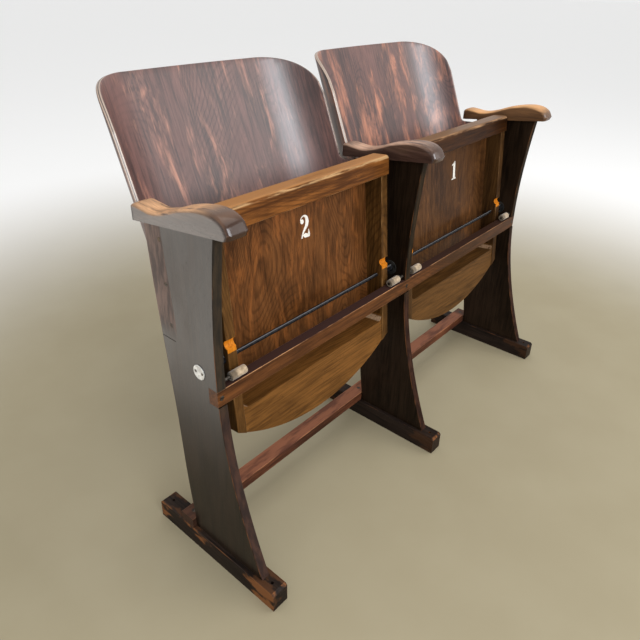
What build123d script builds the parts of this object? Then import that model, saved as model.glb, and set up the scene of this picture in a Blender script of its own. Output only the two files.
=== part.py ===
from build123d import *
import os
from math import asin, atan2, cos, degrees, hypot, radians, sin, tan

# Two-seat tip-up cinema bench in stained beech and bent plywood, millimetres.
# X runs along the row, -Y is the front, +Z is up. The origin is the centre of the middle foot's underside.
os.makedirs("parts", exist_ok=True)

# Row
seat_width = 450.0
seat_side_gap = 31.0
panel_thickness = 18.0
edge_round = 1.6
fit_gap = 0.3
bore_play = 0.05

# Feet and lower stretcher
foot_length = 322.0
foot_width = 35.0
foot_height = 42.0
foot_corner = 5.0
floor_hole_radius = 3.0
floor_hole_inset = 20.0
lower_stretcher_depth = 34.0
lower_stretcher_height = 22.0
lower_stretcher_y = 56.0

# Hinge and front stretcher
hinge_y = 2.8
hinge_z = 433.0
rod_radius = 3.8
rod_bore_depth = 7.0
stretcher_height = 31.0
stretcher_drop = 20.0

# Side panels: outline in Y and Z
panel_toe_y = -125.0
panel_waist_y = -38.3
panel_front_top_y = -54.0
panel_rear_top_y = 108.0
panel_front_points = [(-82.3, 163.5), (-45.0, 332.0)]
panel_rear_points = [(96.0, 490.0), (87.0, 400.0), (77.5, 300.0), (69.5, 180.0)]
panel_waist_above_hinge = 40.0

# Armrests: the top as Y and height above the sloping underside
arm_width = 41.0
arm_rear_y = 146.5
arm_rear_z = 653.5
arm_rear_corner = 13.0
arm_slope = 6.7
arm_under_front_y = -81.0
arm_rear_end = [(arm_rear_y, 15.0), (142.0, 23.5), (133.0, 26.5)]
arm_saddle = [(116.0, 23.5), (88.0, 18.5), (56.0, 22.5), (22.0, 31.5), (-10.0, 36.0)]
arm_nose = [(-38.0, 36.5), (-60.0, 32.0), (-76.0, 22.0), (-84.5, 7.5)]

# Rebates for the wings of the back shells, shallow on the outer faces of the row
rebate_depth = 5.0
outer_rebate_depth = 0.6
wing_front = [(66.0, 664.0), (64.0, 615.0), (58.0, 561.0), (52.5, 500.0), (58.0, 466.0)]

# Back shells: a flat middle, a bend at each side and wings along the panels
shell_thickness = 8.0
shell_lean = 22.0
shell_mid_y = 243.5
shell_ref_z = 660.0
shell_mid_radius = 1350.0
shell_bend_radius = 120.2
shell_edge_inset = 7.2
shell_height = 196.0
shell_crown = 9.7
shell_corner_across = 136.0
shell_corner_down = 106.0
shell_bottom_z = 470.0
wing_top_z = 648.0

# Seats: x across, w up along the folded seat from the hinge, n out of its front
fold_lean = 5.3
lowered_rise = 8.0
rail_thickness = 20.0
rail_depth = 40.0
rail_front = 14.7
front_rail_height = 38.0
front_rail_proud = 3.3
front_rail_round = 8.0
seat_top = 251.0
seat_end = -143.0
seat_curve_end = -207.0
rear_board_top = -106.0
rear_board_setback = 2.0
rear_board_corner = 14.0
seat_panel_thickness = 7.0
seat_panel_inset = 8.0
spacer_radius = 8.0

# Felt rolls
roll_radius = 8.0
roll_length = 34.0
roll_start = 25.0
roll_ahead = 32.5
roll_pin_radius = 3.0
roll_pin_depth = 7.0

# Plates and fasteners
plate_radius = 16.0
plate_thickness = 2.5
plate_screw_offset = 11.0
disc_radius = 13.6
disc_thickness = 1.5
disc_screw_offset = 8.0
dowel_radius = 4.0
dowel_reach = 20.0
foot_dowel_inset = 35.0
arm_dowel_reach = 11.0
arm_dowel_inset = 34.0
corner_dowel_spread = 9.0
corner_dowel_cover = 4.0
nail_inset = 20.0
shell_screw_points = [(74.0, 630.0), (67.0, 575.0), (60.0, 515.0)]
rebate_screw_points = [(72.6, 640.6), (68.2, 567.2), (65.6, 493.8)]

# Derived places
seat_pitch = seat_width + 2 * seat_side_gap + panel_thickness
panel_places = {"left": -seat_pitch, "middle": 0.0, "right": seat_pitch}
bay_places = {"left": -seat_pitch / 2, "right": seat_pitch / 2}
bay_half = (seat_pitch - panel_thickness) / 2
row_half = seat_pitch + panel_thickness / 2
foot_half_row = seat_pitch + foot_width / 2
lower_stretcher_top = foot_height + lower_stretcher_height
stretcher_top = hinge_z - stretcher_drop
stretcher_bottom = stretcher_top - stretcher_height
rail_rear = rail_front - rail_depth
lean = radians(fold_lean)
hinge_to_stop = hinge_z - stretcher_bottom
stretcher_rear_y = hinge_y - rail_front / cos(lean) - hinge_to_stop * tan(lean) - fit_gap
seat_half = seat_width / 2
rail_top = seat_top - front_rail_height
travel = 90 + fold_lean - lowered_rise
roll_y = hinge_y - roll_ahead
roll_z = stretcher_top + roll_radius + fit_gap


def arm_under(y):
    """Height of the armrest's underside, which the panel's top edge meets."""
    return arm_rear_z + (arm_rear_y - y) * tan(radians(arm_slope))


def arm_top(y, thickness):
    return (y, arm_under(y) + thickness)


def seat_plane(x, n=0.0):
    """Plane of a folded seat: local x across the row, local y up the seat, normal to the front."""
    front = (0, -cos(lean), sin(lean))
    return Plane(origin=(x, hinge_y, hinge_z), x_dir=(1, 0, 0), z_dir=front).offset(n)


def rail_plane(x):
    """Side view of a folded seat at x: local x up the seat, local y to the front."""
    return Plane(origin=(x, hinge_y, hinge_z), x_dir=(0, sin(lean), cos(lean)), z_dir=(1, 0, 0))


def places(points, out):
    """Fastener places: the local Z of each points out of the surface that the head sits in."""
    return [Plane(origin=point, z_dir=out).location for point in points]


def fasteners(spots, head_radius, head_height, shank_radius, length, play=0.0):
    """Screws or dowels below their spots. With play they are the holes that the same fasteners fill."""
    seat_on_top = (Align.CENTER, Align.CENTER, Align.MAX)
    with BuildPart() as group:
        with Locations(*spots):
            Cylinder(shank_radius + play, length + play, align=seat_on_top)
            if head_height:
                Cylinder(head_radius + play, head_height + play, align=seat_on_top)
    return group.part


def keep(piece, name):
    """Label a finished piece and write it under its own name."""
    piece.label = name
    export_step(piece, f"parts/{name}.step")


# Fastener sizes: head radius, head height, shank radius, length
stretcher_screw = (4.5, 2.5, 2.2, 42.0)
foot_screw = (4.5, 2.5, 2.2, 40.0)
shell_screw = (4.0, 2.0, 1.8, shell_thickness + 3.5)
rebate_screw = (4.0, 1.5, 1.8, 3.5)
plate_screw = (3.2, 1.2, 1.6, plate_thickness + 5.0)
disc_screw = (2.4, 0.8, 1.3, disc_thickness + 5.0)
panel_nail = (2.6, 1.0, 1.2, seat_panel_thickness + 14.0)
dowel = (dowel_radius, 0.0, dowel_radius, 2 * dowel_reach)
arm_dowel = (dowel_radius, 0.0, dowel_radius, dowel_reach + arm_dowel_reach)

stretcher_screw_z = (stretcher_top + stretcher_bottom) / 2
stretcher_screw_points = [(x, panel_waist_y, stretcher_screw_z) for x in panel_places.values()]
stretcher_screw_spots = places(stretcher_screw_points, (0, -1, 0))
lower_screw_y = lower_stretcher_y + lower_stretcher_depth / 2
foot_screw_points = [(x, lower_screw_y, lower_stretcher_top) for x in panel_places.values()]
foot_screw_spots = places(foot_screw_points, (0, 0, 1))

foot_dowel_y = (panel_toe_y + foot_dowel_inset, lower_stretcher_y - foot_dowel_inset)
foot_dowel_spots = places(
    [(x, y, foot_height + dowel_reach) for x in panel_places.values() for y in foot_dowel_y], (0, 0, 1))
arm_dowel_y = (panel_front_top_y + arm_dowel_inset, panel_rear_top_y - 2 * arm_dowel_inset)
arm_dowel_spots = places(
    [(x, y, arm_under(y) + arm_dowel_reach) for x in panel_places.values() for y in arm_dowel_y], (0, 0, 1))

wing_x = bay_half + rebate_depth - shell_thickness
shell_screw_spots = {}
for bay, bay_x in bay_places.items():
    shell_screw_spots[bay] = []
    for side in (-1, 1):
        wing_points = [(bay_x + side * wing_x, y, z) for y, z in shell_screw_points]
        shell_screw_spots[bay] += places(wing_points, (-side, 0, 0))
all_shell_screw_spots = shell_screw_spots["left"] + shell_screw_spots["right"]

rebate_screw_spots = []
for side in (-1, 1):
    rebate_points = [(side * (row_half - outer_rebate_depth), y, z) for y, z in rebate_screw_points]
    rebate_screw_spots += places(rebate_points, (side, 0, 0))

# Hinge faces: each bay meets a panel at its left and at its right
hinge_faces = []
for bay, bay_x in bay_places.items():
    for end, side in (("left", -1), ("right", 1)):
        hinge_faces.append((bay, end, side, bay_x + side * bay_half))

plate_screw_spots = []
for bay, end, side, face_x in hinge_faces:
    for offset_z in (-plate_screw_offset, plate_screw_offset):
        plate_point = (face_x - side * plate_thickness, hinge_y, hinge_z + offset_z)
        plate_screw_spots += places([plate_point], (-side, 0, 0))
disc_screw_spots = []
for side in (-1, 1):
    for offset_y in (-disc_screw_offset, disc_screw_offset):
        disc_point = (side * (row_half + disc_thickness), hinge_y + offset_y, hinge_z)
        disc_screw_spots += places([disc_point], (side, 0, 0))

# Frame fasteners as groups of separate solids
keep(fasteners(stretcher_screw_spots, *stretcher_screw), "stretcher_screws")
keep(fasteners(foot_screw_spots, *foot_screw), "lower_stretcher_screws")
keep(fasteners(foot_dowel_spots, *dowel), "foot_dowels")
keep(fasteners(arm_dowel_spots, *arm_dowel), "armrest_dowels")
keep(fasteners(all_shell_screw_spots, *shell_screw), "back_shell_screws")
keep(fasteners(rebate_screw_spots, *rebate_screw), "rebate_screws")
keep(fasteners(plate_screw_spots, *plate_screw), "pivot_plate_screws")
keep(fasteners(disc_screw_spots, *disc_screw), "end_disc_screws")

# Felt rolls on their pins, beside each panel and just above the front stretcher
roll_reach = roll_start - panel_thickness / 2 + roll_length
pin_spots = []
for bay, end, side, face_x in hinge_faces:
    roll_x = face_x - side * (roll_start - panel_thickness / 2 + roll_length / 2)
    with BuildPart() as roll:
        with BuildSketch(Plane.YZ.offset(roll_x)):
            with Locations((roll_y, roll_z)):
                Circle(roll_radius)
                Circle(roll_pin_radius + bore_play, mode=Mode.SUBTRACT)
        extrude(amount=roll_length / 2, both=True)
    keep(roll.part, f"felt_roll_{bay}_seat_{end}")
    pin_spots += places([(face_x - side * roll_reach, roll_y, roll_z)], (-side, 0, 0))
roll_pin = (roll_pin_radius, 0.0, roll_pin_radius, roll_reach + roll_pin_depth)
keep(fasteners(pin_spots, *roll_pin), "felt_roll_pins")

# Pivot plates on the inner panel faces and cover discs on the outer ones
for bay, end, side, face_x in hinge_faces:
    with BuildPart() as plate:
        with BuildSketch(Plane.YZ.offset(face_x)):
            with Locations((hinge_y, hinge_z)):
                Circle(plate_radius)
                Circle(rod_radius + bore_play, mode=Mode.SUBTRACT)
        extrude(amount=-side * plate_thickness)
        add(fasteners(plate_screw_spots, *plate_screw, play=bore_play), mode=Mode.SUBTRACT)
    keep(plate.part, f"pivot_plate_{bay}_seat_{end}")

for end, side in (("left", -1), ("right", 1)):
    with BuildPart() as disc:
        with BuildSketch(Plane.YZ.offset(side * row_half)):
            with Locations((hinge_y, hinge_z)):
                Circle(disc_radius)
        extrude(amount=side * disc_thickness)
        add(fasteners(disc_screw_spots, *disc_screw, play=bore_play), mode=Mode.SUBTRACT)
    keep(disc.part, f"end_disc_{end}")

# Foot rails
floor_hole_y = foot_length / 2 - floor_hole_inset
for end, x in panel_places.items():
    with BuildPart() as foot:
        with BuildSketch(Plane.YZ.offset(x)):
            with Locations((0, foot_height / 2)):
                Rectangle(foot_length, foot_height)
        extrude(amount=foot_width / 2, both=True)
        chamfer(foot.edges().filter_by(Axis.X).group_by(Axis.Z)[-1], foot_corner)
        fillet(foot.faces().sort_by(Axis.Z)[-1].edges(), edge_round)
        with Locations((x, -floor_hole_y, foot_height), (x, floor_hole_y, foot_height)):
            Hole(floor_hole_radius, depth=foot_height)
        add(fasteners(foot_dowel_spots, *dowel, play=bore_play), mode=Mode.SUBTRACT)
        add(fasteners(foot_screw_spots, *foot_screw, play=bore_play), mode=Mode.SUBTRACT)
    keep(foot.part, f"foot_rail_{end}")

# Side panels: one bandsawn outline, notched for the front stretcher and rebated for the shells
for end, x in panel_places.items():
    with BuildPart() as panel:
        with BuildSketch(Plane.YZ.offset(x)):
            with BuildLine():
                front = Spline(
                    (panel_toe_y, foot_height),
                    *panel_front_points,
                    (panel_waist_y, hinge_z + panel_waist_above_hinge),
                    arm_top(panel_front_top_y, 0),
                )
                Line(front @ 1, arm_top(panel_rear_top_y, 0))
                rear = Spline(
                    arm_top(panel_rear_top_y, 0),
                    *panel_rear_points,
                    (lower_stretcher_y, lower_stretcher_top),
                )
                Polyline(rear @ 1, (lower_stretcher_y, foot_height), front @ 0)
            make_face()
        extrude(amount=panel_thickness / 2, both=True)
        for face_edges in (panel.edges().group_by(Axis.X)[0], panel.edges().group_by(Axis.X)[-1]):
            fillet(face_edges.sort_by(SortBy.LENGTH)[-2:], edge_round)
        with BuildSketch(Plane.YZ.offset(x)):
            with BuildLine():
                Polyline(
                    (panel_toe_y, stretcher_bottom),
                    (stretcher_rear_y, stretcher_bottom),
                    (stretcher_rear_y, stretcher_top),
                    (panel_toe_y, stretcher_top),
                    close=True,
                )
            make_face()
        extrude(amount=panel_thickness / 2, both=True, mode=Mode.SUBTRACT)
        for side in (-1, 1):
            face_x = x + side * panel_thickness / 2
            outer = abs(face_x) > seat_pitch
            with BuildSketch(Plane.YZ.offset(face_x)):
                with BuildLine():
                    Polyline(
                        *wing_front,
                        (arm_rear_y, wing_front[-1][1]),
                        (arm_rear_y, wing_front[0][1]),
                        close=True,
                    )
                make_face()
            extrude(amount=-side * (outer_rebate_depth if outer else rebate_depth), mode=Mode.SUBTRACT)
            if not outer:
                with BuildSketch(Plane.YZ.offset(face_x)):
                    with Locations((hinge_y, hinge_z)):
                        Circle(rod_radius + 2 * bore_play)
                    with Locations((roll_y, roll_z)):
                        Circle(roll_pin_radius + bore_play)
                extrude(amount=-side * (rod_bore_depth + bore_play), mode=Mode.SUBTRACT)
        add(fasteners(stretcher_screw_spots, *stretcher_screw, play=bore_play), mode=Mode.SUBTRACT)
        add(fasteners(foot_dowel_spots, *dowel, play=bore_play), mode=Mode.SUBTRACT)
        add(fasteners(arm_dowel_spots, *arm_dowel, play=bore_play), mode=Mode.SUBTRACT)
        add(fasteners(all_shell_screw_spots, *shell_screw, play=bore_play), mode=Mode.SUBTRACT)
        add(fasteners(rebate_screw_spots, *rebate_screw, play=bore_play), mode=Mode.SUBTRACT)
        add(fasteners(plate_screw_spots, *plate_screw, play=bore_play), mode=Mode.SUBTRACT)
        add(fasteners(disc_screw_spots, *disc_screw, play=bore_play), mode=Mode.SUBTRACT)
    keep(panel.part, f"side_panel_{end}")

# Armrests: the left one is flush with the outer face of its panel, the others are centred
arm_overhang = (arm_width - panel_thickness) / 2
arm_plan = 2 * (arm_rear_y - arm_under_front_y)
arm_places = {"left": -seat_pitch + arm_overhang, "middle": 0.0, "right": seat_pitch}
for end, x in arm_places.items():
    with BuildPart() as arm:
        with BuildSketch(Plane.YZ.offset(x)):
            with BuildLine():
                under = Line(arm_top(arm_rear_y, 0), arm_top(arm_under_front_y, 0))
                top = Spline(*[arm_top(y, height) for y, height in arm_rear_end + arm_saddle + arm_nose])
                Line(under @ 0, top @ 0)
                Line(top @ 1, under @ 1)
            make_face()
        extrude(amount=arm_width / 2, both=True)
        with BuildSketch(Plane.XY):
            with Locations((x, arm_rear_y - arm_plan / 2)):
                RectangleRounded(arm_width, arm_plan, arm_rear_corner)
        extrude(amount=2 * arm_rear_z, mode=Mode.INTERSECT)
        add(fasteners(arm_dowel_spots, *arm_dowel, play=bore_play), mode=Mode.SUBTRACT)
    keep(arm.part, f"armrest_{end}")

# Front stretcher, let flush into the panels' front edges
with BuildPart() as front_stretcher:
    with BuildSketch(Plane.YZ):
        with Locations(((panel_waist_y + stretcher_rear_y) / 2, stretcher_screw_z)):
            Rectangle(stretcher_rear_y - panel_waist_y, stretcher_height)
    extrude(amount=row_half, both=True)
    fillet(front_stretcher.edges().filter_by(Axis.X), edge_round)
    add(fasteners(stretcher_screw_spots, *stretcher_screw, play=bore_play), mode=Mode.SUBTRACT)
keep(front_stretcher.part, "front_stretcher")

# Lower stretcher, lying on the feet behind the panels
with BuildPart() as lower_stretcher:
    with BuildSketch(Plane.YZ):
        with Locations((lower_screw_y, foot_height + lower_stretcher_height / 2)):
            Rectangle(lower_stretcher_depth, lower_stretcher_height)
    extrude(amount=foot_half_row, both=True)
    fillet(lower_stretcher.edges().filter_by(Axis.X).group_by(Axis.Z)[-1], edge_round)
    add(fasteners(foot_screw_spots, *foot_screw, play=bore_play), mode=Mode.SUBTRACT)
keep(lower_stretcher.part, "lower_stretcher")

# Back shells: across the row the hollow face is an arc, a tighter arc at each side and a straight wing
mid_angle = asin((wing_x - shell_bend_radius) / (shell_mid_radius - shell_bend_radius))
mid_half = shell_mid_radius * sin(mid_angle)
bend_depth = shell_mid_radius * (1 - cos(mid_angle)) + shell_bend_radius * cos(mid_angle)
edge_angle = asin(1 - shell_edge_inset / shell_bend_radius)
mid_arc = shell_mid_radius * mid_angle
edge_arc = mid_arc + shell_bend_radius * (edge_angle - mid_angle)
shell_lean_rad = radians(shell_lean)
shell_up = Vector(0, sin(shell_lean_rad), cos(shell_lean_rad))
shell_front = Vector(0, -cos(shell_lean_rad), sin(shell_lean_rad))


def shell_section(bay_x, arc, low, high):
    """Plane and height of a cut square to the shell at an arc length from its middle."""
    length = abs(arc)
    side = 1 if arc > 0 else -1
    if length < mid_arc:
        angle = length / shell_mid_radius
        across = shell_mid_radius * sin(angle)
        forward = shell_mid_radius * (1 - cos(angle))
    else:
        angle = mid_angle + (length - mid_arc) / shell_bend_radius
        across = mid_half + shell_bend_radius * (sin(angle) - sin(mid_angle))
        forward = bend_depth - shell_bend_radius * cos(angle)
    outward = Vector(side * sin(angle), 0, 0) - shell_front * cos(angle)
    along = Vector(cos(angle), 0, 0) + shell_front * (side * sin(angle))
    centre = Vector(bay_x + side * across, shell_mid_y, shell_ref_z) + shell_front * forward
    centre = centre + outward * (shell_thickness / 2) + shell_up * ((low + high) / 2)
    return Plane(origin=centre, x_dir=outward, z_dir=along), high - low


def shell_top(arc):
    """Height of the top edge: a slight crown, then a quarter ellipse down to the side edge."""
    straight = edge_arc - shell_corner_across
    length = abs(arc)
    if length <= straight:
        return shell_height - shell_crown * (length / edge_arc) ** 2
    shoulder = shell_height - shell_crown * (straight / edge_arc) ** 2 - shell_corner_down
    across = min((length - straight) / shell_corner_across, 1.0)
    return shoulder + shell_corner_down * (1 - across**2) ** 0.5


corner_steps = 8
half_arcs = [0.0, mid_arc / 2]
for step in range(corner_steps + 1):
    corner_turn = radians(90.0 * step / corner_steps)
    half_arcs.append(edge_arc - shell_corner_across * (1 - sin(corner_turn)))
shell_arcs = [-arc for arc in reversed(half_arcs[1:])] + half_arcs
shell_skirt = -120.0

for bay, bay_x in bay_places.items():
    with BuildPart() as trim:
        for arc in shell_arcs:
            cut_plane, cut_height = shell_section(bay_x, arc, shell_skirt, shell_top(arc))
            with BuildSketch(cut_plane):
                Rectangle(4 * shell_thickness, cut_height)
        loft(ruled=True)
        with BuildSketch(Plane.YZ.offset(bay_x)):
            with BuildLine():
                wing_edge = [(y + fit_gap, z) for y, z in wing_front]
                Polyline(
                    (wing_edge[0][0], wing_top_z),
                    *wing_edge[1:-1],
                    (wing_edge[-1][0], shell_bottom_z),
                    (shell_mid_y + shell_height, shell_bottom_z),
                    (shell_mid_y + shell_height, wing_top_z),
                    close=True,
                )
            make_face()
        extrude(amount=seat_pitch / 2, both=True)
    skirt_length = (shell_ref_z - shell_bottom_z + 2 * bend_depth) / cos(shell_lean_rad)
    shell_origin = Vector(bay_x, shell_mid_y, shell_ref_z) - shell_up * skirt_length
    with BuildPart() as shell:
        with BuildSketch(Plane(origin=shell_origin, x_dir=(1, 0, 0), z_dir=shell_up)):
            with BuildLine():
                mid_turn = degrees(mid_angle)
                hollow_mid = JernArc((0, 0), (1, 0), shell_mid_radius, -mid_turn)
                hollow_bend = JernArc(hollow_mid @ 1, hollow_mid % 1, shell_bend_radius, mid_turn - 90)
                wing_end = hollow_bend @ 1 - Vector(0, bend_depth)
                outer_end = wing_end + Vector(shell_thickness, 0)
                Polyline(hollow_bend @ 1, wing_end, outer_end, hollow_bend @ 1 + Vector(shell_thickness, 0))
                outer_radius = shell_mid_radius + shell_thickness
                outer_mid = JernArc((0, shell_thickness), (1, 0), outer_radius, -mid_turn)
                JernArc(outer_mid @ 1, outer_mid % 1, shell_bend_radius + shell_thickness, mid_turn - 90)
                mirror(about=Plane.YZ)
            make_face()
        extrude(amount=skirt_length + shell_height + shell_crown)
        add(trim.part, mode=Mode.INTERSECT)
        add(fasteners(shell_screw_spots[bay], *shell_screw, play=bore_play), mode=Mode.SUBTRACT)
    keep(shell.part, f"back_shell_{bay}")


def seat_outline(top):
    """Folded seat seen from the front, with the curved edge of its rear end."""
    with BuildSketch() as outline:
        with BuildLine():
            Polyline((-seat_half, seat_end), (-seat_half, top), (seat_half, top), (seat_half, seat_end))
            ThreePointArc((seat_half, seat_end), (0, seat_curve_end), (-seat_half, seat_end))
        make_face()
    return outline.sketch


# Seats, folded up
roll_w = -roll_ahead * sin(lean) + (roll_z - hinge_z) * cos(lean)
roll_n = roll_ahead * cos(lean) + (roll_z - hinge_z) * sin(lean)
roll_distance = hypot(roll_w, roll_n)
roll_landing_angle = degrees(atan2(roll_n, roll_w)) - travel
roll_room = roll_radius + fit_gap
rod_length = 2 * (bay_half + rod_bore_depth)
spacer_length = bay_half - seat_half - plate_thickness - fit_gap
rail_centre = seat_half - rail_thickness / 2
side_height = rear_board_top - seat_end
board_width = seat_width - 2 * rail_thickness
for bay, bay_x in bay_places.items():
    rear_face = seat_plane(bay_x, rail_rear - seat_panel_thickness)
    nail_points = []
    for side in (-1, 1):
        rail_nails = (rail_top - 2 * nail_inset, rail_top / 3, -rail_top / 4)
        end_nails = (seat_top - nail_inset, rear_board_top - nail_inset)
        nail_points += [(side * rail_centre, w) for w in rail_nails]
        nail_points += [(side * seat_half / 2, w) for w in end_nails]
    nail_spots = []
    for across, w in nail_points:
        nail_spots += places([rear_face.from_local_coords((across, w, 0))], -rear_face.z_dir)
    corner_spots = []
    mid_n = rail_front - rail_depth / 2
    for side in (-1, 1):
        for n in (mid_n - corner_dowel_spread, mid_n + corner_dowel_spread):
            corner = seat_plane(bay_x).from_local_coords((side * rail_centre, rail_top + dowel_reach, n))
            corner_spots += places([corner], seat_plane(bay_x).y_dir)
            board_point = (side * (seat_half - corner_dowel_cover), rear_board_top - side_height / 2, n)
            board = seat_plane(bay_x).from_local_coords(board_point)
            corner_spots += places([board], (side, 0, 0))
    nails = fasteners(nail_spots, *panel_nail)
    nail_holes = fasteners(nail_spots, *panel_nail, play=bore_play)
    corner_dowels = fasteners(corner_spots, *dowel)
    corner_holes = fasteners(corner_spots, *dowel, play=bore_play)
    keep(nails, f"seat_{bay}_panel_nails")
    keep(corner_dowels, f"seat_{bay}_corner_dowels")

    with BuildPart() as front_rail:
        with BuildSketch(seat_plane(bay_x, rail_rear)):
            with Locations((0, seat_top - front_rail_height / 2)):
                Rectangle(seat_width, front_rail_height)
        extrude(amount=rail_depth + front_rail_proud)
        fillet(front_rail.edges().filter_by(Axis.X).group_by(Axis.Z)[-1], front_rail_round)
        fillet(front_rail.edges().filter_by(Axis.X).group_by(Axis.Z)[-2], front_rail_round)
        fillet(front_rail.edges().filter_by(Axis.X).sort_by(Axis.Y)[0:1], edge_round)
        add(nail_holes, mode=Mode.SUBTRACT)
        add(corner_holes, mode=Mode.SUBTRACT)
    keep(front_rail.part, f"seat_{bay}_front_rail")

    for end, side in (("left", -1), ("right", 1)):
        with BuildPart() as rail:
            with BuildSketch(seat_plane(bay_x, rail_rear)):
                add(seat_outline(rail_top))
                with Locations((side * rail_centre, 0)):
                    Rectangle(rail_thickness, 2 * seat_width, mode=Mode.INTERSECT)
            extrude(amount=rail_depth)
            rail_line = Axis((0, 0, 0), seat_plane(bay_x).y_dir)
            fillet(rail.faces().sort_by(Axis.Y)[0].edges().filter_by(rail_line), edge_round)
            with BuildSketch(rail_plane(bay_x + side * rail_centre)):
                with BuildLine():
                    outer_sweep = CenterArc((0, 0), roll_distance + roll_room, roll_landing_angle, travel)
                    inner_sweep = CenterArc((0, 0), roll_distance - roll_room, roll_landing_angle, travel)
                    Line(outer_sweep @ 0, inner_sweep @ 0)
                    Line(outer_sweep @ 1, inner_sweep @ 1)
                make_face()
                with PolarLocations(roll_distance, 1, start_angle=roll_landing_angle):
                    Circle(roll_room)
                Circle(rod_radius + bore_play)
            extrude(amount=rail_thickness, both=True, mode=Mode.SUBTRACT)
            add(nail_holes, mode=Mode.SUBTRACT)
            add(corner_holes, mode=Mode.SUBTRACT)
        keep(rail.part, f"seat_{bay}_side_rail_{end}")

        spacer_x = bay_x + side * (seat_half + spacer_length / 2)
        with BuildPart() as spacer:
            with BuildSketch(Plane.YZ.offset(spacer_x)):
                with Locations((hinge_y, hinge_z)):
                    Circle(spacer_radius)
                    Circle(rod_radius + bore_play, mode=Mode.SUBTRACT)
            extrude(amount=spacer_length / 2, both=True)
        keep(spacer.part, f"seat_{bay}_spacer_{end}")

    with BuildPart() as rear_board:
        with BuildSketch(seat_plane(bay_x, rail_rear)):
            add(seat_outline(rear_board_top + rear_board_corner))
            Rectangle(board_width, 2 * seat_width, mode=Mode.INTERSECT)
            with Locations((0, rear_board_top + seat_half)):
                RectangleRounded(board_width, seat_width, rear_board_corner, mode=Mode.SUBTRACT)
        extrude(amount=rail_depth - rear_board_setback)
        add(nail_holes, mode=Mode.SUBTRACT)
        add(corner_holes, mode=Mode.SUBTRACT)
    keep(rear_board.part, f"seat_{bay}_rear_board")

    with BuildPart() as seat_panel:
        with BuildSketch(rear_face):
            add(seat_outline(seat_top - seat_panel_inset))
        extrude(amount=seat_panel_thickness)
        add(nail_holes, mode=Mode.SUBTRACT)
    keep(seat_panel.part, f"seat_{bay}_plywood_panel")

    with BuildPart() as rod:
        with BuildSketch(Plane.YZ.offset(bay_x)):
            with Locations((hinge_y, hinge_z)):
                Circle(rod_radius)
        extrude(amount=rod_length / 2, both=True)
    keep(rod.part, f"seat_{bay}_hinge_rod")
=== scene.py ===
from math import acos, asin, cos, exp, pi, radians, sin, sqrt, tan

import bmesh
import bpy
from mathutils import Matrix, Vector


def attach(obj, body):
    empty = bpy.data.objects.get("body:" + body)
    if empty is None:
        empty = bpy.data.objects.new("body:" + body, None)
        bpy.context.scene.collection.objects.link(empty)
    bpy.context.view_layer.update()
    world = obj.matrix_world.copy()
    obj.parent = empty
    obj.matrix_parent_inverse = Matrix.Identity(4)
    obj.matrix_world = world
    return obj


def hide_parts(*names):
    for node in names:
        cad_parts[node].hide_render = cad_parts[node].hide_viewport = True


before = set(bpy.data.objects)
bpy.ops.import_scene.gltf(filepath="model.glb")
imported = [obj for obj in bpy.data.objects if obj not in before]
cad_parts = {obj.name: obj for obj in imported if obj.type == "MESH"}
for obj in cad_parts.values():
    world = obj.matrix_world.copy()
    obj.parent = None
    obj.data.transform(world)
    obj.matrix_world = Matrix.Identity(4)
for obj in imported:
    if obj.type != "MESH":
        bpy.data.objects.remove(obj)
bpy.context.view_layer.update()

# Foot rails: three straight beech bars that lie on the floor from front to back and carry the panels.
# Sawn square, stained nearly black, chamfered at the top of both ends, with a floor screw hole near each.
# Decades of shoes have rubbed the stain off in orange patches, most of them on the left foot.

scuffed_orange = (0.2, 0.078, 0.028)


def node(tree, kind, links=None, **settings):
    """Add a shader node, set its properties, and link or set its inputs."""
    made = tree.nodes.new("ShaderNode" + kind)
    for key, value in settings.items():
        setattr(made, key, value)
    for socket, source in (links or {}).items():
        if isinstance(source, bpy.types.NodeSocket):
            tree.links.new(source, made.inputs[socket])
        else:
            made.inputs[socket].default_value = source
    return made


def calc(tree, operation, a, b=0.0, clamp=False):
    return node(tree, "Math", {0: a, 1: b}, operation=operation, use_clamp=clamp).outputs[0]


def plus(tree, a, b):
    return calc(tree, "ADD", a, b)


def minus(tree, a, b):
    return calc(tree, "SUBTRACT", a, b)


def times(tree, a, b, clamp=False):
    return calc(tree, "MULTIPLY", a, b, clamp)


def ramp(tree, value, low, high, out_low=0.0, out_high=1.0):
    """Smooth step of a value between two limits."""
    links = {0: value, 1: low, 2: high, 3: out_low, 4: out_high}
    return node(tree, "MapRange", links, interpolation_type="SMOOTHSTEP").outputs[0]


def tint(tree, share, under, over):
    """Lay one colour over another by a share."""
    links = {0: share}
    for socket, colour in ((6, under), (7, over)):
        links[socket] = colour if isinstance(colour, bpy.types.NodeSocket) else (*colour, 1.0)
    return node(tree, "Mix", links, data_type="RGBA", clamp_factor=True).outputs[2]


def shade(colour, share):
    return [share * part for part in colour]


def painted_share(tree, name):
    """A share that the mesh carries at its points."""
    return node(tree, "Attribute", attribute_name=name).outputs["Fac"]


def where_on(tree):
    return node(tree, "TexCoord").outputs["Object"]


def where_along(tree, axis):
    """Where a point of the surface lies along an axis."""
    return node(tree, "SeparateXYZ", {0: where_on(tree)}).outputs[axis]


def facing(tree, axis):
    """How far the surface faces along an axis, from -1 to 1."""
    return node(tree, "SeparateXYZ", {0: node(tree, "TexCoord").outputs["Normal"]}).outputs[axis]


def either_way(tree, value):
    return calc(tree, "ABSOLUTE", value)


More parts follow.
